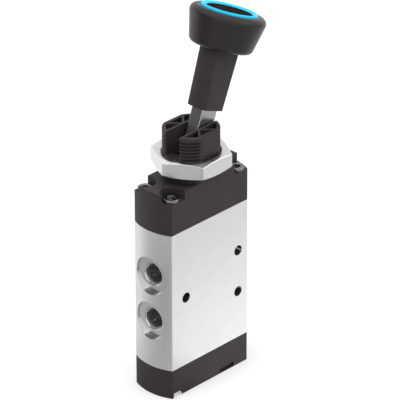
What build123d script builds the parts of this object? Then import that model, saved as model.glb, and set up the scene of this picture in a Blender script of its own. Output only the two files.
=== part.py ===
"""Hand lever air valve: a five-port spool valve in an aluminium body, worked by a panel-mounted lever.

The valve stands on its end cap. X runs along the wide faces, Y through the thickness and Z up, with the
origin at the centre of the underside. The lever rests leaning towards +X, where the return spring holds it,
and pushing it over to -X drives the spool down.
"""
from build123d import *
import os
from math import cos, radians, sin, tan

os.makedirs("parts", exist_ok=True)

# Casing
body_width = 45.6
body_thickness = 21.0
end_bow = 2.5
corner_round = 0.5
cap_height = 13.4
housing_height = 18.0
top_edge_chamfer = 0.3
seam_chamfer = 0.25

# Ports, cut from flat spot faces in the bowed ends
port_pitch = 10.5
port_radius = 4.28
port_mouth_radius = 5.1
port_thread_depth = 9.0
port_passage_radius = 2.9
spot_face_radius = 8.5
spot_face_depth = 2.3

# Holes that fasten the valve by its wide faces
mount_hole_radius = 2.25
left_hole_x = -14.4
right_hole_x = 17.1
right_hole_spread = 9.7

# Screws that hold the cap and the housing to the body
screw_radius = 1.5
screw_hole_clearance = 0.05
screw_inset_x = 3.2
screw_inset_y = 3.3
screw_grip = 8.0
screw_head_radius = 3.25
screw_head_height = 1.6
screw_head_chamfer = 1.0
screw_socket_radius = 2.0
screw_socket_depth = 1.1
cap_screw_head_radius = 2.75
cap_screw_head_height = 3.0
cap_screw_socket_radius = 1.45
cap_screw_recess = 3.0
screw_pocket_radius = 4.8
screw_pocket_depth = 3.8
counterbore_clearance = 0.2

# Underside of the cap: round pockets about the two left screws and a shallow notch low in the front face
cap_pocket_radius = 4.1
cap_pocket_height = 2.4
notch_x = 10.2
notch_length = 8.8
notch_lip = 0.4
notch_height = 2.2
notch_depth = 1.2
notch_round = 1.6

# Seal stack in the bore of the body
bore_radius = 7.0
bush_height = 3.85
stack_clearance = 0.05
seal_height = 3.0
seal_lip_height = 1.6
seal_lip_length = 1.6
cage_wall = 1.6
cage_window_width = 5.0
cage_window_height = 4.5

# Spool
spool_radius = 3.4
spool_neck_radius = 2.1
spool_clearance = 0.05
spool_travel = 3.5
spool_neck_slope = 0.8

# Return spring and its seat
spring_floor = 2.4
spring_wire_radius = 0.4
spring_radius = 3.9
spring_turns = 4
spring_end_gap = 0.02
spring_room_radius = 5.3
seat_radius = 4.8
seat_height = 2.0
seat_tail_radius = 1.5
seat_spigot_radius = 3.2
seat_spigot_height = 0.8

# Face seal between the body and the cap: a square-section ring in a groove of the cap
face_seal_land = 0.45
face_seal_width = 1.5
face_seal_groove_width = 1.7
face_seal_groove_depth = 1.5

# Pusher between the lever's cam and the spool
pusher_head_radius = 7.8
pusher_head_height = 3.0
pusher_head_clearance = 0.3
pusher_stem_radius = 4.0
pusher_socket_radius = 2.5
pusher_socket_depth = 4.0
guide_wall_clearance = 0.1

# Collar on the housing, threaded for the panel nut
collar_radius = 12.0
collar_height = 20.5
collar_flat_depth = 1.6
collar_lead_in = 0.45
collar_wall = 1.6
slot_width = 7.8
slot_wall = 1.0
slot_floor_drop = 10.6
rib_thickness = 1.0
pocket_floor_drop = 10.6
window_clearance = 0.5
roof_thickness = 2.7
toe_end_clearance = 0.45
lever_side_clearance = 0.3

# Panel nut
nut_wall = 3.0
nut_height = 7.0
nut_chamfer_inset = 0.3
nut_chamfer_drop = 0.9
nut_countersink = 0.6
nut_clearance = 0.05
panel_gap = 3.3

# Lever
lever_tilt = 20.7
pivot_rise = 4.2
pivot_radius = 2.0
pivot_clearance = 0.05
pivot_blind_wall = 1.0
bar_width = 9.3
bar_thickness = 6.0
bar_length = 56.0
bar_corner_round = 0.35
cam_height = 4.8
cam_clearance = 0.05
cam_points = 7
toe_tip_reach = 0.45
toe_shoulder = 3.2

# Grip sleeve and knob, measured along the lever from its pivot
sleeve_start = 23.2
sleeve_end = 49.0
sleeve_bottom_width = 10.9
sleeve_top_width = 13.6
sleeve_thickness = 10.1
sleeve_bulge = 0.8
sleeve_corner_round = 0.5
bar_fit = 0.05
knob_end = 64.7
knob_base_radius = 13.1
knob_rim_width = 4.7
knob_base_round = 2.4
knob_shoulder_round = 2.6
ring_outer_radius = 12.0
ring_crest_radius = 11.1
ring_inner_radius = 9.75
ring_depth = 1.9
ring_rise = 0.9
ring_round = 0.6
disc_drop = 0.7
inlay_clearance = 0.05
knob_screw_radius = 1.5
knob_screw_head_radius = 2.8
knob_screw_head_height = 2.0
knob_screw_depth = 8.0

# Levels and places that follow from the sizes above
body_height = 5 * port_pitch + seal_height + 2 * bush_height
half_width = body_width / 2
half_thickness = body_thickness / 2
crown = half_width + end_bow
body_top = cap_height + body_height
housing_top = body_top + housing_height
collar_top = housing_top + collar_height
port_middle = cap_height + body_height / 2
screw_x = half_width - screw_inset_x
screw_y = half_thickness - screw_inset_y
screw_places = [(x, y) for x in (-screw_x, screw_x) for y in (-screw_y, screw_y)]
screw_pocket_floor = housing_top - screw_pocket_depth
working_ports = [port_middle - port_pitch, port_middle + port_pitch]
supply_and_exhausts = [port_middle + k * 2 * port_pitch for k in (-1, 0, 1)]
seal_levels = [port_middle + (k - 2.5) * port_pitch for k in range(6)]
cage_levels = [port_middle + (k - 2) * port_pitch for k in range(5)]
cage_height = port_pitch - seal_height
stack_radius = bore_radius - stack_clearance
stack_inner = spool_radius + spool_clearance
lever_swing = radians(2 * lever_tilt)
cam_base_radius = spool_travel / lever_swing
pivot_height = housing_top + pivot_rise
pusher_top = pivot_height - cam_height
pusher_head_bottom = pusher_top - pusher_head_height
guide_top = pusher_head_bottom - spool_travel - pusher_head_clearance
head_room_radius = pusher_head_radius + pusher_head_clearance
collar_flat = collar_radius - collar_flat_depth
nut_across_flats = 2 * (collar_radius + nut_wall)
slot_floor = collar_top - slot_floor_drop
roof_level = slot_floor - roof_thickness
nut_bottom = housing_top + panel_gap
spool_bottom = cap_height - 0.5
seat_bottom = spool_bottom - seat_height
spool_top = pusher_head_bottom - pusher_head_height
tilt = radians(lever_tilt)
pivot = (0, 0, pivot_height)
bar_back = (0, bar_thickness / 2, pivot_height)
across_lever = (cos(tilt), 0, -sin(tilt))
along_lever = (sin(tilt), 0, cos(tilt))
lever_plane = Plane(origin=pivot, x_dir=across_lever, z_dir=along_lever)
lever_side = Plane(origin=bar_back, x_dir=across_lever, z_dir=(0, -1, 0))
upright_side = Plane(origin=bar_back, x_dir=(1, 0, 0), z_dir=(0, -1, 0))


def casing_outline():
    """The plan that the cap, body and housing share: two straight faces joined by bowed ends."""
    with BuildLine() as edge:
        front = Line((-half_width, -half_thickness), (half_width, -half_thickness))
        right = ThreePointArc(front @ 1, (crown, 0), (half_width, half_thickness))
        back = Line(right @ 1, (-half_width, half_thickness))
        ThreePointArc(back @ 1, (-crown, 0), front @ 0)
    casing = make_face(edge.edges())
    fillet(casing.vertices(), radius=corner_round)


def ring(outer, inner, height, level):
    """A plain ring standing on the given level, as a sketch and an extrusion in the current part."""
    with BuildSketch(Plane.XY.offset(level)) as section:
        Circle(outer)
        Circle(inner, mode=Mode.SUBTRACT)
    extrude(section.sketch, amount=height)


def cam_point(turn):
    """The point of the cam that meets the flat pusher after this turn, seen with the lever at rest."""
    drop = cam_height - cam_clearance + cam_base_radius * turn
    across = -cam_base_radius * cos(turn) - drop * sin(turn)
    up = cam_base_radius * sin(turn) - drop * cos(turn)
    return across, up


lever_room_width = bar_thickness + 2 * lever_side_clearance
toe_room_half_length = -cam_point(lever_swing)[0] + toe_tip_reach + toe_end_clearance
bar_lean = (slot_floor - pivot_height) * tan(tilt)
window_half_length = bar_lean + bar_width / 2 / cos(tilt) + window_clearance


def export(part, name):
    part.label = name
    export_step(part, f"parts/{name}.step")


# Valve body: an extruded block with a through bore, ports in both ends and holes through its wide faces
with BuildPart() as valve_body:
    with BuildSketch(Plane.XY.offset(cap_height)):
        casing_outline()
    extrude(amount=body_height)
    with BuildSketch(Plane.XY.offset(cap_height)):
        Circle(bore_radius)
    extrude(amount=body_height, mode=Mode.SUBTRACT)
    for side, levels in ((-1, working_ports), (1, supply_and_exhausts)):
        for level in levels:
            spot_centre = (side * (crown - spot_face_depth), 0, level)
            spot = Plane(origin=spot_centre, x_dir=(0, side, 0), z_dir=(side, 0, 0))
            with BuildSketch(spot):
                Circle(spot_face_radius)
            extrude(amount=spot_face_depth + 1, mode=Mode.SUBTRACT)
            with BuildSketch(spot):
                Circle(port_radius)
            extrude(amount=-port_thread_depth, mode=Mode.SUBTRACT)
            with BuildSketch(spot):
                Circle(port_mouth_radius)
            extrude(amount=-(port_mouth_radius - port_radius), taper=45, mode=Mode.SUBTRACT)
            with BuildSketch(spot):
                Circle(port_passage_radius)
            extrude(amount=-(crown - spot_face_depth - bore_radius / 2), mode=Mode.SUBTRACT)
    with BuildSketch(Plane.XZ.offset(-half_thickness)):
        with Locations(
            (left_hole_x, port_middle),
            (right_hole_x, port_middle - right_hole_spread),
            (right_hole_x, port_middle + right_hole_spread),
        ):
            Circle(mount_hole_radius)
    extrude(amount=body_thickness, mode=Mode.SUBTRACT)
    for level, way in ((body_top, -1), (cap_height, 1)):
        with BuildSketch(Plane.XY.offset(level)):
            with Locations(*screw_places):
                Circle(screw_radius + screw_hole_clearance)
        extrude(amount=way * (screw_grip + 1), mode=Mode.SUBTRACT)
export(valve_body.part, "valve_body")

# End cap: closes the bore below and holds the return spring
with BuildPart() as end_cap:
    with BuildSketch():
        casing_outline()
    extrude(amount=cap_height)
    chamfer(end_cap.faces().filter_by(Axis.Z).edges(), length=seam_chamfer)
    with BuildSketch(Plane.XY.offset(spring_floor)):
        Circle(spring_room_radius)
    extrude(amount=cap_height - spring_floor, mode=Mode.SUBTRACT)
    with BuildSketch(Plane.XY.offset(cap_height)):
        Circle(bore_radius + face_seal_land + face_seal_groove_width)
        Circle(bore_radius + face_seal_land, mode=Mode.SUBTRACT)
    extrude(amount=-face_seal_groove_depth, mode=Mode.SUBTRACT)
    with BuildSketch():
        with Locations((-screw_x, -screw_y), (-screw_x, screw_y)):
            Circle(cap_pocket_radius)
    extrude(amount=cap_pocket_height, mode=Mode.SUBTRACT)
    with BuildSketch(Plane.XZ.offset(half_thickness)) as notch:
        with Locations((notch_x, notch_lip + notch_height / 2)):
            Rectangle(notch_length, notch_height)
        fillet(notch.vertices().group_by(Axis.Y)[-1].sort_by(Axis.X)[0], radius=notch_round)
    extrude(amount=-notch_depth, mode=Mode.SUBTRACT)
    with BuildSketch():
        with Locations(*screw_places):
            Circle(screw_radius + screw_hole_clearance)
    extrude(amount=cap_height, mode=Mode.SUBTRACT)
    with BuildSketch():
        with Locations(*screw_places):
            Circle(cap_screw_head_radius + counterbore_clearance)
    extrude(amount=cap_screw_recess + cap_screw_head_height, mode=Mode.SUBTRACT)
export(end_cap.part, "end_cap")

# Actuator housing: a moulding with screw pockets in its corners and a slotted, flatted, ribbed collar
with BuildPart() as actuator_housing:
    with BuildSketch(Plane.XY.offset(body_top)):
        casing_outline()
    extrude(amount=housing_height)
    chamfer(actuator_housing.faces().sort_by(Axis.Z)[-1].edges(), length=top_edge_chamfer)
    chamfer(actuator_housing.faces().sort_by(Axis.Z)[0].edges(), length=seam_chamfer)
    with BuildSketch(Plane.XY.offset(screw_pocket_floor)):
        with Locations(*screw_places):
            Circle(screw_pocket_radius)
        for side, align in ((-1, Align.MAX), (1, Align.MIN)):
            with Locations((-screw_x, side * screw_y), (screw_x, side * screw_y)):
                Rectangle(2 * screw_pocket_radius, screw_pocket_radius, align=(Align.CENTER, align))
            with Locations((screw_x, side * screw_y)):
                Rectangle(half_width, 2 * screw_pocket_radius, align=(Align.MIN, Align.CENTER))
    extrude(amount=screw_pocket_depth, mode=Mode.SUBTRACT)
    with BuildSketch(Plane.XY.offset(housing_top)):
        Circle(collar_radius)
    extrude(amount=collar_height)
    chamfer(actuator_housing.faces().sort_by(Axis.Z)[-1].edges(), length=collar_lead_in)
    with BuildSketch(Plane.XY.offset(housing_top)):
        with Locations((0, half_thickness + collar_flat), (0, -half_thickness - collar_flat)):
            Rectangle(2 * collar_radius, body_thickness)
    extrude(amount=collar_height, mode=Mode.SUBTRACT)
    with BuildSketch(Plane.XY.offset(slot_floor)):
        Rectangle(2 * collar_radius, slot_width)
    extrude(amount=slot_floor_drop, mode=Mode.SUBTRACT)
    with BuildSketch(Plane.XY.offset(collar_top - pocket_floor_drop)):
        Circle(collar_radius - collar_wall)
        Rectangle(2 * collar_radius, 2 * (collar_flat - collar_wall), mode=Mode.INTERSECT)
        Rectangle(2 * collar_radius, slot_width + 2 * slot_wall, mode=Mode.SUBTRACT)
        for side in (1, -1):
            with Locations((0, side * (slot_width + slot_wall) / 2)):
                for angle in (45, 135):
                    Rectangle(
                        collar_radius,
                        rib_thickness,
                        rotation=side * angle,
                        align=(Align.MIN, Align.CENTER),
                        mode=Mode.SUBTRACT,
                    )
    extrude(amount=pocket_floor_drop, mode=Mode.SUBTRACT)
    with BuildSketch(Plane.XY.offset(body_top)):
        Circle(head_room_radius)
    extrude(amount=pusher_top + 1 - body_top, mode=Mode.SUBTRACT)
    with BuildSketch(Plane.XY.offset(body_top)):
        Rectangle(2 * toe_room_half_length, lever_room_width)
    extrude(amount=roof_level - body_top, mode=Mode.SUBTRACT)
    with BuildSketch(Plane.XY.offset(roof_level)):
        Rectangle(2 * window_half_length, lever_room_width)
    extrude(amount=roof_thickness, mode=Mode.SUBTRACT)
    with BuildSketch(Plane.XZ.offset(-collar_flat)):
        with Locations((0, pivot_height)):
            Circle(pivot_radius)
    extrude(amount=2 * collar_flat - pivot_blind_wall, mode=Mode.SUBTRACT)
    with BuildSketch(Plane.XY.offset(body_top)):
        with Locations(*screw_places):
            Circle(screw_radius + screw_hole_clearance)
    extrude(amount=housing_height, mode=Mode.SUBTRACT)
export(actuator_housing.part, "actuator_housing")

# Screws: four button heads in the housing's corner pockets, four cap heads under the end cap
with BuildPart() as housing_screws:
    with BuildSketch(Plane.XY.offset(body_top - screw_grip)):
        with Locations(*screw_places):
            Circle(screw_radius)
    extrude(amount=screw_pocket_floor - body_top + screw_grip)
    with BuildSketch(Plane.XY.offset(screw_pocket_floor)):
        with Locations(*screw_places):
            Circle(screw_head_radius)
    extrude(amount=screw_head_height)
    tops = housing_screws.faces().sort_by(Axis.Z)[-len(screw_places):]
    chamfer(tops.edges(), length=screw_head_chamfer)
    with BuildSketch(Plane.XY.offset(screw_pocket_floor + screw_head_height)):
        with Locations(*screw_places):
            RegularPolygon(screw_socket_radius, 6)
    extrude(amount=-screw_socket_depth, mode=Mode.SUBTRACT)
export(housing_screws.part, "housing_screws")

cap_screw_seat = cap_screw_recess + cap_screw_head_height
with BuildPart() as cap_screws:
    with BuildSketch(Plane.XY.offset(cap_screw_seat)):
        with Locations(*screw_places):
            Circle(screw_radius)
    extrude(amount=cap_height + screw_grip - cap_screw_seat)
    with BuildSketch(Plane.XY.offset(cap_screw_recess)):
        with Locations(*screw_places):
            Circle(cap_screw_head_radius)
    extrude(amount=cap_screw_head_height)
    with BuildSketch(Plane.XY.offset(cap_screw_recess)):
        with Locations(*screw_places):
            RegularPolygon(cap_screw_socket_radius, 6)
    extrude(amount=screw_socket_depth, mode=Mode.SUBTRACT)
export(cap_screws.part, "cap_screws")

# Seal stack: windowed cages at the ports, lip seals between them and a bush at each end
for number, level in enumerate(cage_levels, start=1):
    with BuildPart() as cage:
        ring(stack_radius, stack_radius - cage_wall, cage_height, level - cage_height / 2)
        with BuildSketch(Plane.XZ.offset(-bore_radius)):
            with Locations((0, level)):
                Rectangle(cage_window_width, cage_window_height)
        extrude(amount=2 * bore_radius, mode=Mode.SUBTRACT)
        with BuildSketch(Plane.YZ.offset(-bore_radius)):
            with Locations((0, level)):
                Rectangle(cage_window_width, cage_window_height)
        extrude(amount=2 * bore_radius, mode=Mode.SUBTRACT)
    export(cage.part, f"flow_cage_{number}")

seal_heel_radius = stack_inner + seal_lip_length
for number, level in enumerate(seal_levels, start=1):
    with BuildPart() as seal:
        with BuildSketch(Plane.XZ):
            with BuildLine():
                Polyline(
                    (stack_inner, level - seal_lip_height / 2),
                    (seal_heel_radius, level - seal_height / 2),
                    (stack_radius, level - seal_height / 2),
                    (stack_radius, level + seal_height / 2),
                    (seal_heel_radius, level + seal_height / 2),
                    (stack_inner, level + seal_lip_height / 2),
                    close=True,
                )
            make_face()
        revolve(axis=Axis.Z)
    export(seal.part, f"spool_seal_{number}")

stack_bottom = seal_levels[0] - seal_height / 2
stack_top = seal_levels[-1] + seal_height / 2
with BuildPart() as lower_bush:
    ring(stack_radius, stack_inner, stack_bottom - cap_height, cap_height)
export(lower_bush.part, "lower_bush")

with BuildPart() as upper_bush:
    ring(stack_radius, stack_inner, body_top - stack_top, stack_top)
export(upper_bush.part, "upper_bush")

# Spool: lands joined by two necks, one port pitch long, and a thin end at the top and the bottom
neck_centres = [port_middle + k * port_pitch + spool_travel / 2 for k in (-1, 1)]
with BuildPart() as spool:
    with BuildSketch(Plane.XY.offset(spool_bottom)):
        Circle(spool_radius)
    extrude(amount=spool_top - spool_bottom)
    for level in neck_centres:
        with BuildSketch(Plane.XZ) as neck:
            with Locations((spool_neck_radius, level)):
                Rectangle(spool_radius, port_pitch, align=(Align.MIN, Align.CENTER))
            chamfer(neck.vertices().group_by(Axis.X)[0], length=spool_neck_slope)
        revolve(axis=Axis.Z, mode=Mode.SUBTRACT)
    with BuildSketch(Plane.XY.offset(spool_top)):
        Circle(pusher_socket_radius - inlay_clearance)
    extrude(amount=pusher_socket_depth - inlay_clearance)
    with BuildSketch(Plane.XY.offset(seat_bottom)):
        Circle(seat_tail_radius)
    extrude(amount=seat_height)
export(spool.part, "spool")

# Spring seat on the spool's tail, with a spigot that centres the return spring
with BuildPart() as spring_seat:
    ring(seat_radius, seat_tail_radius + inlay_clearance, seat_height, seat_bottom)
    spigot_bottom = seat_bottom - seat_spigot_height
    ring(seat_spigot_radius, seat_tail_radius + inlay_clearance, seat_spigot_height, spigot_bottom)
export(spring_seat.part, "spring_seat")

spring_start = spring_floor + spring_wire_radius + spring_end_gap
spring_rise = seat_bottom - spring_wire_radius - spring_end_gap - spring_start
with BuildPart() as return_spring:
    with BuildLine() as coil:
        Helix(spring_rise / spring_turns, spring_rise, spring_radius, center=(0, 0, spring_start))
    with BuildSketch(Plane(origin=coil.line @ 0, z_dir=coil.line % 0)):
        RegularPolygon(spring_wire_radius, 6)
    sweep(path=coil.line, is_frenet=True)
export(return_spring.part, "return_spring")

# Face seal: fills the cap's groove from floor to mouth
with BuildPart() as cap_seal:
    groove_floor = cap_height - face_seal_groove_depth
    seal_inner = bore_radius + face_seal_land + (face_seal_groove_width - face_seal_width) / 2
    ring(seal_inner + face_seal_width, seal_inner, face_seal_groove_depth, groove_floor)
export(cap_seal.part, "cap_seal")

# Pusher and the guide that it slides in, below the lever's cam
with BuildPart() as pusher_guide:
    guide_radius = head_room_radius - guide_wall_clearance
    ring(guide_radius, pusher_stem_radius + spool_clearance, guide_top - body_top, body_top)
export(pusher_guide.part, "pusher_guide")

with BuildPart() as pusher:
    with BuildSketch(Plane.XY.offset(spool_top)):
        Circle(pusher_stem_radius)
    extrude(amount=pusher_head_bottom - spool_top)
    with BuildSketch(Plane.XY.offset(pusher_head_bottom)):
        Circle(pusher_head_radius)
    extrude(amount=pusher_head_height)
    chamfer(pusher.faces().sort_by(Axis.Z)[-1].edges(), length=pusher_head_height / 6)
    with BuildSketch(Plane.XY.offset(spool_top)):
        Circle(pusher_socket_radius)
    extrude(amount=pusher_socket_depth, mode=Mode.SUBTRACT)
export(pusher.part, "pusher")

# Panel nut: a hexagon with turned-off corners and a countersunk bore
with BuildPart() as panel_nut:
    with BuildSketch(Plane.XY.offset(nut_bottom)):
        RegularPolygon(nut_across_flats / 2, 6, major_radius=False)
    extrude(amount=nut_height)
    corner_radius = nut_across_flats / 2 / cos(radians(30))
    nut_top = nut_bottom + nut_height
    with BuildSketch(Plane.XZ):
        with BuildLine():
            Polyline(
                (0, nut_bottom),
                (nut_across_flats / 2 - nut_chamfer_inset, nut_bottom),
                (corner_radius, nut_bottom + nut_chamfer_drop),
                (corner_radius, nut_top - nut_chamfer_drop),
                (nut_across_flats / 2 - nut_chamfer_inset, nut_top),
                (0, nut_top),
                close=True,
            )
        make_face()
    revolve(axis=Axis.Z, mode=Mode.INTERSECT)
    with BuildSketch(Plane.XY.offset(nut_bottom)):
        Circle(collar_radius + nut_clearance)
    extrude(amount=nut_height, mode=Mode.SUBTRACT)
    bore_edges = panel_nut.edges().filter_by(GeomType.CIRCLE).group_by(SortBy.RADIUS)[0]
    chamfer(bore_edges, length=nut_countersink)
export(panel_nut.part, "panel_nut")

# Pivot pin: pressed in from the back face, so that the front flat of the collar stays whole
with BuildPart() as pivot_pin:
    with BuildSketch(Plane.XZ.offset(-collar_flat)):
        with Locations((0, pivot_height)):
            Circle(pivot_radius)
    extrude(amount=2 * collar_flat - pivot_blind_wall)
export(pivot_pin.part, "pivot_pin")

# Lever bar: a flat steel bar with an eye at the pivot and a cam whose flank is an involute, so that the
# flat pusher moves down in proportion to the lever's turn
with BuildPart() as lever_bar:
    with BuildSketch(lever_side):
        with Locations((0, bar_length / 2)):
            Rectangle(bar_width, bar_length)
        Circle(bar_width / 2)
    extrude(amount=bar_thickness)
    with BuildSketch(upright_side):
        with BuildLine():
            flank = Spline(*[cam_point(lever_swing * k / (cam_points - 1)) for k in range(cam_points)])
            tip = flank @ 1 + (flank % 1) * toe_tip_reach
            Line(flank @ 1, tip)
            Line(tip, (-toe_shoulder, toe_shoulder))
            Line((-toe_shoulder, toe_shoulder), (0, 0))
            Line((0, 0), (0, -bar_width / 2))
            Line((0, -bar_width / 2), flank @ 0)
        make_face()
    extrude(amount=bar_thickness)
    with BuildSketch(upright_side):
        Circle(pivot_radius + pivot_clearance)
    extrude(amount=bar_thickness, mode=Mode.SUBTRACT)
    with BuildSketch(lever_plane.offset(bar_length)):
        Circle(knob_screw_radius + screw_hole_clearance)
    extrude(amount=-(knob_screw_depth + 1), mode=Mode.SUBTRACT)
    long_edges = lever_bar.edges().filter_by(Axis(lever_plane.origin, lever_plane.z_dir))
    fillet(long_edges.filter_by(lambda e: e.length > bar_length / 2), radius=bar_corner_round)
export(lever_bar.part, "lever_bar")


def sleeve_section(width):
    """The sleeve's section: straight faces along the bar's flats and bowed faces at its edges."""
    with BuildLine() as edge:
        front = Line((-width / 2, -sleeve_thickness / 2), (width / 2, -sleeve_thickness / 2))
        right = ThreePointArc(front @ 1, (width / 2 + sleeve_bulge, 0), (width / 2, sleeve_thickness / 2))
        back = Line(right @ 1, (-width / 2, sleeve_thickness / 2))
        ThreePointArc(back @ 1, (-width / 2 - sleeve_bulge, 0), front @ 0)
    section = make_face(edge.edges())
    fillet(section.vertices(), radius=sleeve_corner_round)


# Grip sleeve: widens along the bar from the collar to the knob
with BuildPart() as grip_sleeve:
    with BuildSketch(lever_plane.offset(sleeve_start)):
        sleeve_section(sleeve_bottom_width)
    with BuildSketch(lever_plane.offset(sleeve_end)):
        sleeve_section(sleeve_top_width)
    loft()
    with BuildSketch(lever_plane.offset(sleeve_start)):
        Rectangle(bar_width + 2 * bar_fit, bar_thickness + 2 * bar_fit)
    extrude(amount=sleeve_end - sleeve_start, mode=Mode.SUBTRACT)
export(grip_sleeve.part, "grip_sleeve")

# Knob: a turned form flaring to its rim, with a socket for the bar and a recess for the ring and the disc
knob_plane = Plane(origin=pivot, x_dir=across_lever, z_dir=(0, -1, 0))
knob_floor = knob_end - ring_depth
screw_seat = knob_floor - knob_screw_head_height - inlay_clearance
with BuildPart() as knob:
    with BuildSketch(knob_plane) as knob_profile:
        with BuildLine():
            Polyline(
                (0, sleeve_end),
                (knob_base_radius, sleeve_end),
                (ring_outer_radius + knob_rim_width, knob_end),
                (0, knob_end),
                close=True,
            )
        make_face()
        fillet(knob_profile.vertices().sort_by(Axis.X)[-1], radius=knob_shoulder_round)
        fillet(knob_profile.vertices().group_by(Axis.Y)[0].sort_by(Axis.X)[-1], radius=knob_base_round)
    revolve(axis=Axis(lever_plane.origin, lever_plane.z_dir))
    with BuildSketch(lever_plane.offset(knob_end)):
        Circle(ring_outer_radius + inlay_clearance)
    extrude(amount=-ring_depth, mode=Mode.SUBTRACT)
    with BuildSketch(lever_plane.offset(knob_floor)):
        Circle(knob_screw_head_radius + inlay_clearance)
    extrude(amount=screw_seat - knob_floor, mode=Mode.SUBTRACT)
    with BuildSketch(lever_plane.offset(screw_seat)):
        Circle(knob_screw_radius + screw_hole_clearance)
    extrude(amount=bar_length - screw_seat, mode=Mode.SUBTRACT)
    with BuildSketch(lever_plane.offset(sleeve_end)):
        Rectangle(bar_width + 2 * bar_fit, bar_thickness + 2 * bar_fit)
    extrude(amount=bar_length + bar_fit - sleeve_end, mode=Mode.SUBTRACT)
export(knob.part, "knob")

# Screw that holds the knob and the sleeve on the bar
with BuildPart() as knob_screw:
    with BuildSketch(lever_plane.offset(bar_length - knob_screw_depth)):
        Circle(knob_screw_radius)
    extrude(amount=screw_seat - bar_length + knob_screw_depth)
    with BuildSketch(lever_plane.offset(screw_seat)):
        Circle(knob_screw_head_radius)
    extrude(amount=knob_screw_head_height)
export(knob_screw.part, "knob_screw")

# Coloured ring and the disc inside it, set into the top of the knob and standing a little above it
ring_height = ring_depth + ring_rise
with BuildPart() as accent_ring:
    with BuildSketch(knob_plane) as ring_profile:
        with BuildLine():
            Polyline(
                (ring_inner_radius, knob_floor),
                (ring_outer_radius, knob_floor),
                (ring_outer_radius, knob_floor + ring_height),
                (ring_crest_radius, knob_floor + ring_height),
                (ring_inner_radius, knob_floor + ring_height - disc_drop),
                close=True,
            )
        make_face()
        fillet(ring_profile.vertices().group_by(Axis.Y)[-1].sort_by(Axis.X)[-1], radius=ring_round)
    revolve(axis=Axis(lever_plane.origin, lever_plane.z_dir))
export(accent_ring.part, "accent_ring")

with BuildPart() as knob_disc:
    with BuildSketch(lever_plane.offset(knob_floor)):
        Circle(ring_inner_radius - inlay_clearance)
    extrude(amount=ring_height - disc_drop)
export(knob_disc.part, "knob_disc")
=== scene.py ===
"""Looks of the hand lever air valve: the studio, its finishes, and the threaded, eased and rounded pieces
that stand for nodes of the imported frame."""

from math import atan2, cos, hypot, pi, radians, sin, tau

import bmesh
import bpy
from mathutils import Matrix, Vector


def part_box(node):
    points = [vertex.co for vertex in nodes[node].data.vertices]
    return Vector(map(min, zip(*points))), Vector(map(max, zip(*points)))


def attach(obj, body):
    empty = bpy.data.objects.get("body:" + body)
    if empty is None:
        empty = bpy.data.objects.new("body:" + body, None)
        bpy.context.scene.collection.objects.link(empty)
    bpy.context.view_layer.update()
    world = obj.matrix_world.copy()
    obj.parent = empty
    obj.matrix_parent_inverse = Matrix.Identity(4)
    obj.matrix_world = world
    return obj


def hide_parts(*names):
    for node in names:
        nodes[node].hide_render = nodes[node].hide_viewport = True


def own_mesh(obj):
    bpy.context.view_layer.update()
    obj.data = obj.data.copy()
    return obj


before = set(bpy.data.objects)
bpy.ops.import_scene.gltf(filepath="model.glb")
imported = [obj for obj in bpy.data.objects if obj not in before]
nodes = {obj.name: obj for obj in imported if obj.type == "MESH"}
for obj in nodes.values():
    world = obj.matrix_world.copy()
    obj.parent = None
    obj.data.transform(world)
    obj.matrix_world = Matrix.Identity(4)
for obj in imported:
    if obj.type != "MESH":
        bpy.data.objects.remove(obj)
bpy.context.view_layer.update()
scene = bpy.context.scene
mm = 0.001

# Camera, fitted to the photograph's frame
image_size = 400
focal_pixels = 3836.45
sensor_width = 36.0
view_yaw = radians(46.746)
view_pitch = radians(27.515)
view_roll = radians(-0.127)
object_right = -3.42 * mm
object_up = -71.93 * mm
object_away = 1617.23 * mm


def make_camera():
    """The camera looks down along the yaw and pitch, with the object's origin where the fit puts it."""
    forward = Vector((sin(view_yaw) * cos(view_pitch), cos(view_yaw) * cos(view_pitch), -sin(view_pitch)))
    level_right = Vector((cos(view_yaw), -sin(view_yaw), 0))
    level_up = level_right.cross(forward)
    right = level_right * cos(view_roll) + level_up * sin(view_roll)
    up = level_up * cos(view_roll) - level_right * sin(view_roll)
    place = -(right * object_right + up * object_up + forward * object_away)
    camera = bpy.data.objects.new("camera", bpy.data.cameras.new("camera"))
    scene.collection.objects.link(camera)
    camera.matrix_world = Matrix.LocRotScale(place, Matrix((right, up, -forward)).transposed(), None)
    camera.data.sensor_width = sensor_width
    camera.data.lens = focal_pixels * sensor_width / image_size
    camera.data.clip_start = 0.1
    camera.data.clip_end = 20
    scene.camera = camera


# Ways to make a material
noise_low = 0.3
noise_high = 0.7


def grey(level):
    return (level, level, level)


def shader_of(finish):
    return finish.node_tree.nodes["Principled BSDF"]


def new_finish(name, colour, roughness, metallic=0.0):
    """A material with its colour, roughness and metal set on the shader itself."""
    finish = bpy.data.materials.new(name)
    finish.use_nodes = True
    shader = shader_of(finish)
    shader.inputs["Base Color"].default_value = (*colour, 1)
    shader.inputs["Roughness"].default_value = roughness
    shader.inputs["Metallic"].default_value = metallic
    return finish


def combine(tree, operation, first, second):
    """A Math node on two sockets."""
    node = tree.nodes.new("ShaderNodeMath")
    node.operation = operation
    tree.links.new(first, node.inputs[0])
    tree.links.new(second, node.inputs[1])
    return node.outputs[0]


def add_range(tree, value, start, end, low, high):
    """Takes a value that runs from start to end to one that runs from low to high, and stops there."""
    spread = tree.nodes.new("ShaderNodeMapRange")
    for name, number in (("From Min", start), ("From Max", end), ("To Min", low), ("To Max", high)):
        spread.inputs[name].default_value = number
    tree.links.new(value, spread.inputs["Value"])
    return spread.outputs["Result"]


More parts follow.
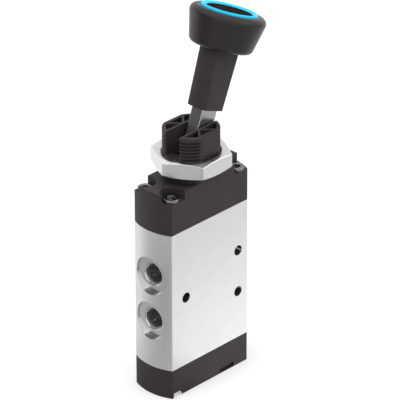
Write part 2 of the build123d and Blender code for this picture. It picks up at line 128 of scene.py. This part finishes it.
def add_ramp(tree, value, stops):
    """Takes a value to the colours that stand at these positions."""
    ramp = tree.nodes.new("ShaderNodeValToRGB")
    elements = ramp.color_ramp.elements
    elements[0].position = stops[0][0]
    elements[1].position = stops[-1][0]
    for position, colour in stops[1:-1]:
        elements.new(position)
    for element, (position, colour) in zip(elements, stops):
        element.color = (*colour, 1)
    tree.links.new(value, ramp.inputs["Fac"])
    return ramp.outputs["Color"]


def add_axes(tree, vector):
    """The X, Y and Z sockets of a vector."""
    parts = tree.nodes.new("ShaderNodeSeparateXYZ")
    tree.links.new(vector, parts.inputs[0])
    return parts.outputs


def add_pattern(finish, size, stretch=(1, 1, 1), detail=2.0):
    """Noise with grains of this size in metres, in object coordinates, drawn out by stretch."""
    tree = finish.node_tree
    place = tree.nodes.new("ShaderNodeTexCoord")
    scale = tree.nodes.new("ShaderNodeMapping")
    scale.inputs["Scale"].default_value = [1 / (size * share) for share in stretch]
    noise = tree.nodes.new("ShaderNodeTexNoise")
    noise.inputs["Scale"].default_value = 1
    noise.inputs["Detail"].default_value = detail
    tree.links.new(place.outputs["Object"], scale.inputs["Vector"])
    tree.links.new(scale.outputs["Vector"], noise.inputs["Vector"])
    return noise.outputs["Fac"]


def vary_roughness(finish, pattern, low, high):
    tree = finish.node_tree
    roughness = add_range(tree, pattern, noise_low, noise_high, low, high)
    tree.links.new(roughness, shader_of(finish).inputs["Roughness"])


def vary_colour(finish, pattern, dark, light):
    tree = finish.node_tree
    colour = add_ramp(tree, pattern, [(noise_low, dark), (noise_high, light)])
    tree.links.new(colour, shader_of(finish).inputs["Base Color"])


def add_relief(finish, pattern, depth):
    """Raises the surface by up to depth, in metres, where the pattern is bright."""
    tree = finish.node_tree
    relief = tree.nodes.new("ShaderNodeBump")
    relief.inputs["Strength"].default_value = 1
    relief.inputs["Distance"].default_value = depth
    tree.links.new(pattern, relief.inputs["Height"])
    tree.links.new(relief.outputs["Normal"], shader_of(finish).inputs["Normal"])


def add_object(mesh, name):
    """Puts a finished mesh into the scene."""
    data = bpy.data.meshes.new(name)
    mesh.to_mesh(data)
    mesh.free()
    made = bpy.data.objects.new(name, data)
    scene.collection.objects.link(made)
    return made


# Studio. Polished surfaces see the floor as greys that change with the way from the object, from -X to +X,
# multiplied by shares that change along an axis between two places in metres.
ambient_strength = 0.55
white_strength = 1.0
floor_half = 3.0
floor_grey = 0.82
floor_roughness = 0.9
floor_lift = 0.42
floor_sweep = [(0.0, 0.30), (0.14, 0.48), (0.30, 0.72), (0.43, 0.77), (0.58, 0.98), (0.9, 1.05)]
floor_shares = [
    ("Y", -0.12, -0.05, 0.62, 1.0), ("Y", -0.15, -0.13, 1.15, 1.0), ("X", -0.11, -0.05, 1.0, 1.5),
    ("X", -0.05, -0.02, 1.0, 0.70), ("X", -0.20, -0.175, 2.3, 1.0),
]
lamp_distance = 0.9
lamp_target = Vector((0, 0, 80 * mm))


def make_world():
    """Plain grey surroundings that cameras and polished surfaces see as white."""
    world = bpy.data.worlds.new("studio")
    scene.world = world
    world.use_nodes = True
    tree = world.node_tree
    background = tree.nodes["Background"]
    background.inputs["Color"].default_value = (1, 1, 1, 1)
    path = tree.nodes.new("ShaderNodeLightPath")
    seen = combine(tree, "MAXIMUM", path.outputs["Is Camera Ray"], path.outputs["Is Glossy Ray"])
    strength = add_range(tree, seen, 0, 1, ambient_strength, white_strength)
    tree.links.new(strength, background.inputs["Strength"])


def add_stage_sheet(name, half, place, paint):
    """A flat sheet of the studio, which isn't part of the object."""
    mesh = bmesh.new()
    bmesh.ops.create_grid(mesh, x_segments=1, y_segments=1, size=half)
    bmesh.ops.transform(mesh, matrix=place, verts=mesh.verts)
    sheet = add_object(mesh, name)
    sheet.data.materials.append(paint)
    return sheet


def make_floor():
    """A wide pale floor that keeps the object's soft shadow. Polished surfaces see it dim towards -X."""
    paint = new_finish("pale floor", grey(floor_grey), floor_roughness)
    tree = paint.node_tree
    shader = shader_of(paint)
    shader.inputs["Specular IOR Level"].default_value = 0.0
    shader.inputs["Emission Color"].default_value = (1, 1, 1, 1)
    path = tree.nodes.new("ShaderNodeLightPath")
    lift = add_range(tree, path.outputs["Is Camera Ray"], 0, 1, 0, floor_lift)
    tree.links.new(lift, shader.inputs["Emission Strength"])
    place = tree.nodes.new("ShaderNodeTexCoord").outputs["Object"]
    way = tree.nodes.new("ShaderNodeVectorMath")
    way.operation = "NORMALIZE"
    tree.links.new(place, way.inputs[0])
    sideways = add_range(tree, add_axes(tree, way.outputs[0])["X"], -1, 1, 0, 1)
    sweep = add_ramp(tree, sideways, [(position, grey(level)) for position, level in floor_sweep])
    axes = add_axes(tree, place)
    strength = None
    for axis, *ends in floor_shares:
        share = add_range(tree, axes[axis], *ends)
        strength = combine(tree, "MULTIPLY", strength, share) if strength else share
    glow = tree.nodes.new("ShaderNodeEmission")
    tree.links.new(strength, glow.inputs["Strength"])
    tree.links.new(sweep, glow.inputs["Color"])
    choice = tree.nodes.new("ShaderNodeMixShader")
    tree.links.new(path.outputs["Is Glossy Ray"], choice.inputs["Fac"])
    tree.links.new(shader.outputs["BSDF"], choice.inputs[1])
    tree.links.new(glow.outputs["Emission"], choice.inputs[2])
    tree.links.new(choice.outputs[0], tree.nodes["Material Output"].inputs["Surface"])
    add_stage_sheet("floor", floor_half, Matrix(), paint)


def add_lamp(name, azimuth, elevation, size, power):
    """A square soft lamp that looks at the object's middle. Azimuth 0 stands in front of the wide face."""
    way = Vector((sin(azimuth) * cos(elevation), -cos(azimuth) * cos(elevation), sin(elevation)))
    light = bpy.data.lights.new(name, "AREA")
    light.shape = "SQUARE"
    light.size = size
    light.energy = power
    lamp = bpy.data.objects.new(name, light)
    scene.collection.objects.link(lamp)
    place = lamp_target + way * lamp_distance
    lamp.matrix_world = Matrix.LocRotScale(place, way.to_track_quat("Z", "Y"), None)


def add_card(name, centre, width, height, turn, level):
    """An upright grey card that only polished surfaces see. It shapes the metal's reflections."""
    paint = new_finish(name, grey(0), roughness=0.5)
    shader = shader_of(paint)
    shader.inputs["Specular IOR Level"].default_value = 0.0
    shader.inputs["Emission Color"].default_value = (*grey(level), 1)
    shader.inputs["Emission Strength"].default_value = 1.0
    place = Matrix.Translation(centre) @ Matrix.Rotation(turn, 4, "Z") @ Matrix.Rotation(pi / 2, 4, "X")
    place = place @ Matrix.Diagonal((width, height, 1, 1))
    card = add_stage_sheet(name, half=0.5, place=place, paint=paint)
    card.visible_camera = False
    card.visible_diffuse = False
    card.visible_shadow = False


make_camera()
make_world()
make_floor()
add_lamp("front lamp", azimuth=radians(35), elevation=radians(40), size=0.8, power=2.0)
add_lamp("back lamp", azimuth=radians(-120), elevation=radians(45), size=0.7, power=1.8)
add_lamp("top lamp", azimuth=radians(0), elevation=radians(88), size=0.9, power=1.2)
add_card("left card", Vector((-0.17, 0.155, 0.20)), width=0.29, height=0.27, turn=radians(90), level=0.10)
add_card("far card", Vector((0.31, 0.29, 0.34)), width=0.40, height=0.22, turn=radians(-46.7), level=0.72)

scene.view_settings.view_transform = "Standard"


# Finishes
def anodised_aluminium():
    """Extruded, fine-blasted and anodised: even silver with faint lines along the extrusion."""
    finish = new_finish("satin anodised aluminium", grey(0.86), roughness=0.36, metallic=1.0)
    grain = add_pattern(finish, size=0.15 * mm)
    lines = add_pattern(finish, size=0.5 * mm, stretch=(1, 1, 60))
    vary_roughness(finish, lines, low=0.33, high=0.40)
    add_relief(finish, grain, depth=0.004 * mm)
    cloud = add_pattern(finish, size=6 * mm)
    vary_colour(finish, cloud, dark=(0.845, 0.845, 0.85), light=grey(0.875))
    return finish


def machined_aluminium(name, level):
    """Metal left by the cutter: shinier than the blasted skin, with fine feed marks."""
    finish = new_finish(name, grey(level), roughness=0.2, metallic=1.0)
    marks = add_pattern(finish, size=0.3 * mm, stretch=(1, 6, 6))
    vary_roughness(finish, marks, low=0.17, high=0.24)
    add_relief(finish, marks, depth=0.001 * mm)
    return finish


def bored_aluminium_with_painted_shade():
    """Walls of deep holes and threads, in a dark grey: painted shade inside the holes."""
    # Painted shade: grey 0.33 to 0.43 stands for the shade deep in the holes.
    finish = new_finish("bored aluminium with painted shade", grey(0.33), roughness=0.35, metallic=1.0)
    marks = add_pattern(finish, size=0.15 * mm, stretch=(1, 6, 6))
    vary_roughness(finish, marks, low=0.30, high=0.45)
    vary_colour(finish, marks, dark=grey(0.33), light=grey(0.43))
    add_relief(finish, marks, depth=0.004 * mm)
    return finish


def black_plastic(name, colour, shine, roughness, relief):
    """A black moulding with a fine eroded texture."""
    finish = new_finish(name, colour, roughness)
    shader_of(finish).inputs["Specular IOR Level"].default_value = shine
    grain = add_pattern(finish, size=0.12 * mm, detail=3)
    cloud = add_pattern(finish, size=4 * mm)
    vary_roughness(finish, grain, low=roughness - 0.06, high=roughness + 0.08)
    dark = [0.95 * part for part in colour]
    light = [1.05 * part for part in colour]
    vary_colour(finish, cloud, dark, light)
    add_relief(finish, grain, relief)
    return finish


def plated_steel(name, colour, roughness, grain=0.2 * mm, relief=0.0004 * mm):
    """Plated steel with fine turning marks."""
    finish = new_finish(name, colour, roughness, metallic=1.0)
    marks = add_pattern(finish, grain, stretch=(3, 3, 1))
    vary_roughness(finish, marks, low=roughness - 0.04, high=roughness + 0.05)
    add_relief(finish, marks, relief)
    return finish


def blue_plastic():
    """Clear bright blue with a painted glow: a little emission that brightens the ring, which is no lamp."""
    finish = new_finish("bright blue plastic with painted glow", (0.005, 0.58, 1.0), roughness=0.35)
    shader = shader_of(finish)
    shader.inputs["Specular IOR Level"].default_value = 0.2
    # Painted glow: this emission stands in for brighter light falling on the ring.
    shader.inputs["Emission Color"].default_value = (0.0, 0.21, 0.33, 1)
    shader.inputs["Emission Strength"].default_value = 1.0
    grain = add_pattern(finish, size=0.3 * mm)
    vary_colour(finish, grain, dark=(0.004, 0.56, 0.97), light=(0.006, 0.60, 1.0))
    vary_roughness(finish, grain, low=0.32, high=0.42)
    add_relief(finish, grain, depth=0.002 * mm)
    return finish


def natural_acetal():
    finish = new_finish("natural acetal", (0.80, 0.79, 0.75), roughness=0.4)
    grain = add_pattern(finish, size=0.4 * mm)
    vary_roughness(finish, grain, low=0.35, high=0.5)
    add_relief(finish, grain, depth=0.003 * mm)
    return finish


def nitrile_rubber():
    finish = new_finish("nitrile rubber", (0.018, 0.018, 0.019), roughness=0.6)
    grain = add_pattern(finish, size=0.2 * mm)
    vary_roughness(finish, grain, low=0.55, high=0.7)
    add_relief(finish, grain, depth=0.004 * mm)
    return finish


finishes = {
    "anodised_aluminium": anodised_aluminium(),
    "black_plastic": black_plastic(
        "eroded black plastic", (0.042, 0.035, 0.0335), shine=0.28, roughness=0.5, relief=0.006 * mm
    ),
    "zinc_plated_steel": plated_steel("zinc-plated steel", grey(0.25), roughness=0.18),
    "bar_steel": plated_steel("bar steel", (0.46, 0.46, 0.45), roughness=0.3),
    "nickel_plated_steel": plated_steel(
        "nickel-plated steel", (0.84, 0.84, 0.835), roughness=0.28, grain=1.0 * mm, relief=0.00004 * mm
    ),
    "hard_aluminium": plated_steel("hard-coated aluminium", (0.62, 0.62, 0.64), roughness=0.3),
    "blue_plastic": blue_plastic(),
    "natural_acetal": natural_acetal(),
    "nitrile_rubber": nitrile_rubber(),
    "spring_steel": plated_steel("spring steel", (0.40, 0.40, 0.41), roughness=0.25),
}
for node in nodes.values():
    for slot in node.material_slots:
        slot.material = finishes[slot.material.name]
nodes["knob"].material_slots[0].material = black_plastic(
    "knob black plastic", (0.029, 0.0245, 0.0235), shine=0.28, roughness=0.36, relief=0.004 * mm
)
nodes["knob_disc"].material_slots[0].material = black_plastic(
    "dead matt black", (0.034, 0.024, 0.022), shine=0.0, roughness=0.8, relief=0.004 * mm
)
machined_wall = machined_aluminium("machined wall", 0.85)
# Painted shade: the spot faces' floors get the same machined metal as their walls, darker (0.68 against
# 0.85), for the shade in the recesses.
shaded_machined_floor = machined_aluminium("machined floor with painted shade", 0.68)
bored = bored_aluminium_with_painted_shade()

# Sizes shared with the frame, in millimetres
port_pitch = 10.5
port_middle = 45.0
crown = 25.3
bow_radius = 23.3
bow_axis = 2.0
spot_face_depth = 2.3
spot_face_radius = 8.5
port_radius = 4.28
port_mouth_radius = 5.1
through_holes = [(-14.4, 0), (17.1, -9.7), (17.1, 9.7)]
collar_radius = 12.0
screw_x = 19.6
screw_y = 7.2
screw_places = [(x, y) for x in (-screw_x, screw_x) for y in (-screw_y, screw_y)]
pivot_height = 98.8
lever_tilt = radians(20.7)
lever_place = Matrix.Translation((0, 0, pivot_height * mm)) @ Matrix.Rotation(lever_tilt, 4, "Y")
nut_low, nut_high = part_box("panel_nut")

# Ways to make a piece
sharp_angle = radians(30)
merge_distance = 0.0005


def turn_profile(mesh, profile, steps):
    """Spins (distance from the axis, height) points about the Z axis, then closes the seam and the poles."""
    first = (profile[0][0] * mm, 0, profile[0][1] * mm)
    last = bmesh.ops.create_vert(mesh, co=first)["vert"][0]
    line = [last]
    for radius, height in profile[1:]:
        grown = bmesh.ops.extrude_vert_indiv(mesh, verts=[last])
        last = grown["verts"][0]
        last.co = (radius * mm, 0, height * mm)
        line += grown["edges"] + grown["verts"]
    bmesh.ops.spin(
        mesh, geom=line, cent=(0, 0, 0), axis=(0, 0, 1), angle=tau, steps=steps, use_merge=True
    )


def extrude_loops(mesh, count, shapes):
    """A wall that grows loop by loop about the Z axis. From a vertex's angle, each shape gives its distance
    and its height. Returns the edges of the first and the last loop."""
    made = len(mesh.edges)
    verts = bmesh.ops.create_circle(mesh, segments=count, radius=1)["verts"]
    mesh.edges.ensure_lookup_table()
    first = last = mesh.edges[made:]
    for number, shape in enumerate(shapes):
        if number:
            grown = bmesh.ops.extrude_edge_only(mesh, edges=last)["geom"]
            verts = [part for part in grown if isinstance(part, bmesh.types.BMVert)]
            edges = [part for part in grown if isinstance(part, bmesh.types.BMEdge)]
            fresh = set(verts)
            last = [edge for edge in edges if fresh.issuperset(edge.verts)]
        for vert in verts:
            angle = atan2(vert.co.y, vert.co.x)
            radius, height = shape(angle)
            vert.co = (radius * cos(angle) * mm, radius * sin(angle) * mm, height * mm)
    return first, last


def hexagon(across_flats, angle):
    """Distance from the centre to a hexagon's side at this angle, with a corner at angle 0."""
    within = (angle % (pi / 3)) - pi / 6
    return across_flats / 2 / cos(within)


def close_up(mesh):
    """Merges what lies on the same spot, and turns all faces outwards."""
    bmesh.ops.remove_doubles(mesh, verts=mesh.verts, dist=merge_distance * mm)
    bmesh.ops.recalc_face_normals(mesh, faces=mesh.faces)


def finish_piece(mesh, name, finish, body, replaced):
    """Turns the mesh into a smooth-shaded object that rides on a body and stands for a CAD node."""
    piece = add_object(mesh, name)
    piece.data.materials.append(finish)
    piece.data.shade_smooth()
    piece.data.set_sharp_from_angle(angle=sharp_angle)
    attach(piece, body)
    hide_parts(replaced)
    return piece


def merged_copy(node):
    """A new mesh with the CAD node's faces and its doubled vertices merged."""
    mesh = bmesh.new()
    mesh.from_mesh(nodes[node].data)
    close_up(mesh)
    return mesh


def thread_cutter(name, half_groove, pitch, length, steps, place):
    """A cutter that winds about the Z axis, in so many steps a turn. Half of its groove is given as
    distances from the axis and half widths, from the root to past the surface."""
    section = [(radius, -half_width) for radius, half_width in half_groove]
    section += reversed(half_groove)
    mesh = bmesh.new()
    verts = bmesh.ops.create_circle(mesh, cap_ends=True, segments=len(section), radius=1)["verts"]
    for vert, (radius, height) in zip(verts, section):
        vert.co = (radius * mm, 0, height * mm)
    turns = length / pitch
    geometry = mesh.verts[:] + mesh.edges[:] + mesh.faces[:]
    bmesh.ops.spin(
        mesh, geom=geometry, cent=(0, 0, 0), axis=(0, 0, 1), dvec=(0, 0, pitch * mm / steps),
        angle=tau * turns, steps=round(turns * steps),
    )
    bmesh.ops.holes_fill(mesh, edges=[edge for edge in mesh.edges if edge.is_boundary])
    bmesh.ops.recalc_face_normals(mesh, faces=mesh.faces)
    bmesh.ops.transform(mesh, matrix=place, verts=mesh.verts)
    return add_object(mesh, name)


def cut_away(mesh, cutters):
    """The mesh with the cutters taken out of it, as a new mesh. The cutters are used up."""
    blank = add_object(mesh, "uncut")
    for cutter in cutters:
        step = blank.modifiers.new(cutter.name, "BOOLEAN")
        step.solver = "EXACT"
        step.object = cutter
    result = bmesh.new()
    result.from_object(blank, bpy.context.evaluated_depsgraph_get())
    for used in [blank, *cutters]:
        bpy.data.objects.remove(used)
    close_up(result)
    return result


def from_port(place):
    """How far a place, in millimetres, lies from the axis of the nearest port on its side."""
    levels = (-2 * port_pitch, 0, 2 * port_pitch) if place.x > 0 else (-port_pitch, port_pitch)
    axis = min((port_middle + level for level in levels), key=lambda height: abs(place.z - height))
    return Vector((0, place.y, place.z - axis))


# How nearly a face lies on a form to count as part of it: distances in millimetres, the rest as cosines
# or as shares of a normal
bow_slack = 0.2
bow_match = 0.99
port_slack = 0.05
port_match = 0.985
flat_match = 0.99999
upright_slack = 0.001
level_part = Vector((1, 1, 0))


def steady_normals(piece):
    """Gives flat areas their own plain normal, the bowed ends and port walls that of their true arc, and
    other upright walls a level one."""
    normals = []
    verts = piece.data.vertices
    smooth = [corner.vector.copy() for corner in piece.data.corner_normals]
    for face in piece.data.polygons:
        side = 1 if face.center.x > 0 else -1
        axis = Vector((side * bow_axis * mm, 0, 0))
        spoke = (face.center - axis) * level_part
        near_bow = abs(spoke.length - bow_radius * mm) < bow_slack * mm
        bowed = near_bow and face.normal.dot(spoke.normalized()) > bow_match
        reach = from_port(face.center / mm)
        near_port = reach.length < spot_face_radius + port_slack
        ported = near_port and face.normal.dot(-reach.normalized()) > port_match
        flat = max(abs(part) for part in face.normal) > flat_match
        upright = abs(face.normal.z) < upright_slack
        for corner, index in zip(face.loop_indices, face.vertices):
            if bowed:
                normals.append(((verts[index].co - axis) * level_part).normalized())
            elif ported:
                normals.append(-from_port(verts[index].co / mm).normalized())
            elif flat:
                normals.append(face.normal.copy())
            elif upright:
                normals.append((smooth[corner] * level_part).normalized())
            else:
                normals.append(Vector((0, 0, 0)))
    piece.data.normals_split_custom_set(normals)


def assign_finish(piece, finish, chosen):
    """Gives a second finish to the faces whose centre, in millimetres, is chosen."""
    piece.data.materials.append(finish)
    index = len(piece.data.materials) - 1
    for face in piece.data.polygons:
        if chosen(face.center / mm):
            face.material_index = index


# Housing with the thread of its collar, which starts below the nut and ends below the collar's rim
collar_thread_pitch = 1.5
collar_thread_steps = 60
collar_thread_start = nut_low.z / mm - 2.6
collar_thread_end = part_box("actuator_housing")[1].z / mm - 1.3
collar_groove = [(11.08, 0.19), (collar_radius, 0.64), (12.3, 0.64)]


def make_housing():
    place = Matrix.Translation((0, 0, collar_thread_start * mm))
    length = collar_thread_end - collar_thread_start
    groove = thread_cutter(
        "collar groove", collar_groove, collar_thread_pitch, length, collar_thread_steps, place
    )
    mesh = cut_away(merged_copy("actuator_housing"), [groove])
    plastic = finishes["black_plastic"]
    piece = finish_piece(mesh, "threaded_housing", plastic, "valve", "actuator_housing")
    steady_normals(piece)


make_housing()


# Body with the threads of its ports, machined spot faces, and painted shade on the spot faces' floors and
# inside its holes
port_thread_pitch = 0.907
port_thread_length = 8.0
port_thread_steps = 40
port_groove = [(4.86, 0.06), (port_radius, 0.36), (port_radius - 0.12, 0.36)]
# Where a face's centre may lie to count as a spot face's wall or floor, or as the inside of a hole
spot_wall_slack = (0.2, 0.05)
spot_floor_slack = 0.02
spot_floor_reach = 1
through_hole_reach = 2.3
through_hole_half = 10.4


def make_body():
    cutters = []
    ports = [(-1, level) for level in (-port_pitch, port_pitch)]
    ports += [(1, level) for level in (-2 * port_pitch, 0, 2 * port_pitch)]
    for number, (side, level) in enumerate(ports, start=1):
        mouth = Vector((side * (crown - spot_face_depth), 0, port_middle + level)) * mm
        place = Matrix.Translation(mouth) @ Matrix.Rotation(-side * pi / 2, 4, "Y")
        cutters.append(thread_cutter(
            f"port groove {number}", port_groove, port_thread_pitch, port_thread_length,
            port_thread_steps, place,
        ))
    mesh = cut_away(merged_copy("valve_body"), cutters)
    metal = finishes["anodised_aluminium"]
    piece = finish_piece(mesh, "bored_body", metal, "valve", "valve_body")
    steady_normals(piece)

    def depth_below_floor(centre):
        return crown - spot_face_depth - abs(centre.x)

    def in_spot_wall(centre):
        inside, outside = spot_wall_slack
        reach = from_port(centre).length
        near = spot_face_radius - inside < reach < spot_face_radius + outside
        return near and depth_below_floor(centre) < 0

    def in_spot_floor(centre):
        level = -spot_floor_slack < depth_below_floor(centre) < spot_floor_reach
        return level and from_port(centre).length < spot_face_radius

    def in_hole(centre):
        bevel = port_mouth_radius - port_radius
        deep = depth_below_floor(centre) > bevel and from_port(centre).length < port_mouth_radius
        through = abs(centre.y) < through_hole_half and any(
            hypot(centre.x - x, centre.z - port_middle - z) < through_hole_reach for x, z in through_holes
        )
        return deep or through

    assign_finish(piece, machined_wall, in_spot_wall)
    # Painted shade on the spot faces' floors: the darker copy of the machined metal.
    assign_finish(piece, shaded_machined_floor, in_spot_floor)
    # Painted shade inside the ports and through holes: the dark bored metal.
    assign_finish(piece, bored, in_hole)


make_body()

# Screws with hexagon sockets and flat heads rounded at their edge
screw_sides = 48
screw_end_chamfer = 0.3
head_foot_chamfer = 0.1
head_edge_round = 0.25
head_round_steps = 4
socket_lip = 0.15
screw_pocket_floor = 90.8
housing_screw = {
    "head_radius": 3.25, "head_height": 1.4, "shank_radius": 1.5, "shank_length": 22.2,
    "socket_flats": 3.3, "socket_depth": 1.1,
}
cap_screw_seat = 6.0
cap_screw = {
    "head_radius": 2.75, "head_height": 3.0, "shank_radius": 1.5, "shank_length": 15.4,
    "socket_flats": 2.5, "socket_depth": 1.2,
}


def add_screw(mesh, place, head_radius, head_height, shank_radius, shank_length, socket_flats, socket_depth):
    """A screw that points down from its seat at height 0."""
    made = len(mesh.verts)
    lip = socket_flats / 2 / cos(pi / 6) + socket_lip
    loops = [
        lambda angle: (shank_radius - screw_end_chamfer, -shank_length),
        lambda angle: (shank_radius, screw_end_chamfer - shank_length),
        lambda angle: (shank_radius, 0),
        lambda angle: (head_radius - head_foot_chamfer, 0),
        lambda angle: (head_radius, head_foot_chamfer),
        lambda angle: (head_radius, head_height - head_edge_round),
    ]
    for step in range(1, head_round_steps + 1):
        bend = step / head_round_steps * pi / 2
        out = head_radius - head_edge_round * (1 - cos(bend))
        high = head_height - head_edge_round * (1 - sin(bend))
        loops.append(lambda angle, out=out, high=high: (out, high))
    loops.append(lambda angle: (lip, head_height))
    loops.append(lambda angle: (hexagon(socket_flats, angle), head_height - socket_lip))
    loops.append(lambda angle: (hexagon(socket_flats, angle), head_height - socket_depth))
    for end in extrude_loops(mesh, screw_sides, loops):
        bmesh.ops.holes_fill(mesh, edges=end, sides=0)
    mesh.verts.ensure_lookup_table()
    bmesh.ops.transform(mesh, matrix=place, verts=mesh.verts[made:])


def make_screws(name, replaced, sizes, seat, tip, first_turn, next_turn):
    """Four screws with their seats at this height. Each is tipped over by the tip, and its socket is left at
    its own angle in degrees."""
    mesh = bmesh.new()
    for number, (x, y) in enumerate(screw_places):
        place = Matrix.Translation(Vector((x, y, seat)) * mm) @ Matrix.Rotation(tip, 4, "X")
        place = place @ Matrix.Rotation(radians(first_turn + next_turn * number), 4, "Z")
        add_screw(mesh, place, **sizes)
    close_up(mesh)
    finish_piece(mesh, name, finishes["zinc_plated_steel"], "valve", replaced)


make_screws(
    "low_head_screws", "housing_screws", housing_screw, seat=screw_pocket_floor, tip=0,
    first_turn=25, next_turn=17,
)
make_screws(
    "cap_head_screws", "cap_screws", cap_screw, seat=cap_screw_seat, tip=pi, first_turn=11, next_turn=23
)

# Panel nut
nut_sides = 96
nut_flats = 30.0
nut_bore = 12.05
nut_countersink = 0.6
nut_chamfer_start = 14.7
nut_chamfer_slope = 0.34
nut_edge_round = 0.1
nut_corner_limit = 17.2


def make_nut():
    """Half of the nut is given as distances from the axis and drops from the top. The other mirrors it."""
    bottom = nut_low.z / mm
    top = nut_high.z / mm

    def side(angle):
        return min(hexagon(nut_flats, angle), nut_corner_limit)

    def chamfer_drop(radius):
        return max(0, radius - nut_chamfer_start) * nut_chamfer_slope

    mouth = nut_bore + nut_countersink
    r = nut_edge_round
    half = [
        lambda angle: (nut_bore, nut_countersink),
        lambda angle: (mouth - r, r),
        lambda angle: (mouth + r, 0),
        lambda angle: (nut_chamfer_start - r, 0),
        lambda angle: (nut_chamfer_start + r, chamfer_drop(nut_chamfer_start + r)),
        lambda angle: (side(angle) - r, chamfer_drop(side(angle) - r)),
        lambda angle: (side(angle), chamfer_drop(side(angle)) + r),
    ]
    upper = [lambda angle, f=f: (f(angle)[0], top - f(angle)[1]) for f in half]
    lower = [lambda angle, f=f: (f(angle)[0], bottom + f(angle)[1]) for f in half]
    mesh = bmesh.new()
    extrude_loops(mesh, nut_sides, upper + lower[::-1] + upper[:1])
    close_up(mesh)
    steel = finishes["nickel_plated_steel"]
    finish_piece(mesh, "chamfered_nut", steel, "nut", "panel_nut")


make_nut()

# Ring of the knob, highest near its outer edge. The slope down to the disc is given as distances from the
# axis and drops below the crest.
ring_sides = 96
ring_floor = 62.8
ring_crest = 65.6
ring_inside = 9.75
ring_outside = 12.0
ring_round = 0.6
ring_round_steps = 8
ring_slope = [(11.2, 0.01), (11.0, 0.07), (10.8, 0.165), (9.95, 0.61), (9.84, 0.68), (9.77, 0.76)]
ring_inner_drop = 0.86


def make_ring():
    shoulder = ring_crest - ring_round
    waist = ring_outside - ring_round
    profile = [(ring_inside, ring_floor), (ring_outside, ring_floor), (ring_outside, shoulder)]
    for step in range(1, ring_round_steps + 1):
        bend = step / ring_round_steps * pi / 2
        profile.append((waist + ring_round * cos(bend), shoulder + ring_round * sin(bend)))
    profile += [(radius, ring_crest - drop) for radius, drop in ring_slope]
    profile += [(ring_inside, ring_crest - ring_inner_drop), (ring_inside, ring_floor)]
    mesh = bmesh.new()
    turn_profile(mesh, profile, ring_sides)
    bmesh.ops.transform(mesh, matrix=lever_place, verts=mesh.verts)
    close_up(mesh)
    finish_piece(mesh, "domed_ring", finishes["blue_plastic"], "lever", "accent_ring")


make_ring()

# Grip sleeve with its rims rounded
same_plane_angle = radians(1)
rim_angle = radians(60)
rim_round = 0.35


def make_sleeve():
    mesh = merged_copy("grip_sleeve")
    bmesh.ops.dissolve_limit(mesh, angle_limit=same_plane_angle, verts=mesh.verts, edges=mesh.edges)
    rims = [edge for edge in mesh.edges if edge.is_manifold and edge.calc_face_angle() > rim_angle]
    bmesh.ops.bevel(
        mesh, geom=rims, offset=rim_round * mm, offset_type="OFFSET", segments=3, profile=0.5,
        affect="EDGES", material=-1,
    )
    close_up(mesh)
    finish_piece(mesh, "rounded_sleeve", finishes["black_plastic"], "lever", "grip_sleeve")


make_sleeve()


def make_spring():
    mesh = merged_copy("return_spring")
    wire = finishes["spring_steel"]
    piece = finish_piece(mesh, "coil_spring", wire, "valve", "return_spring")
    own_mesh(piece)


make_spring()
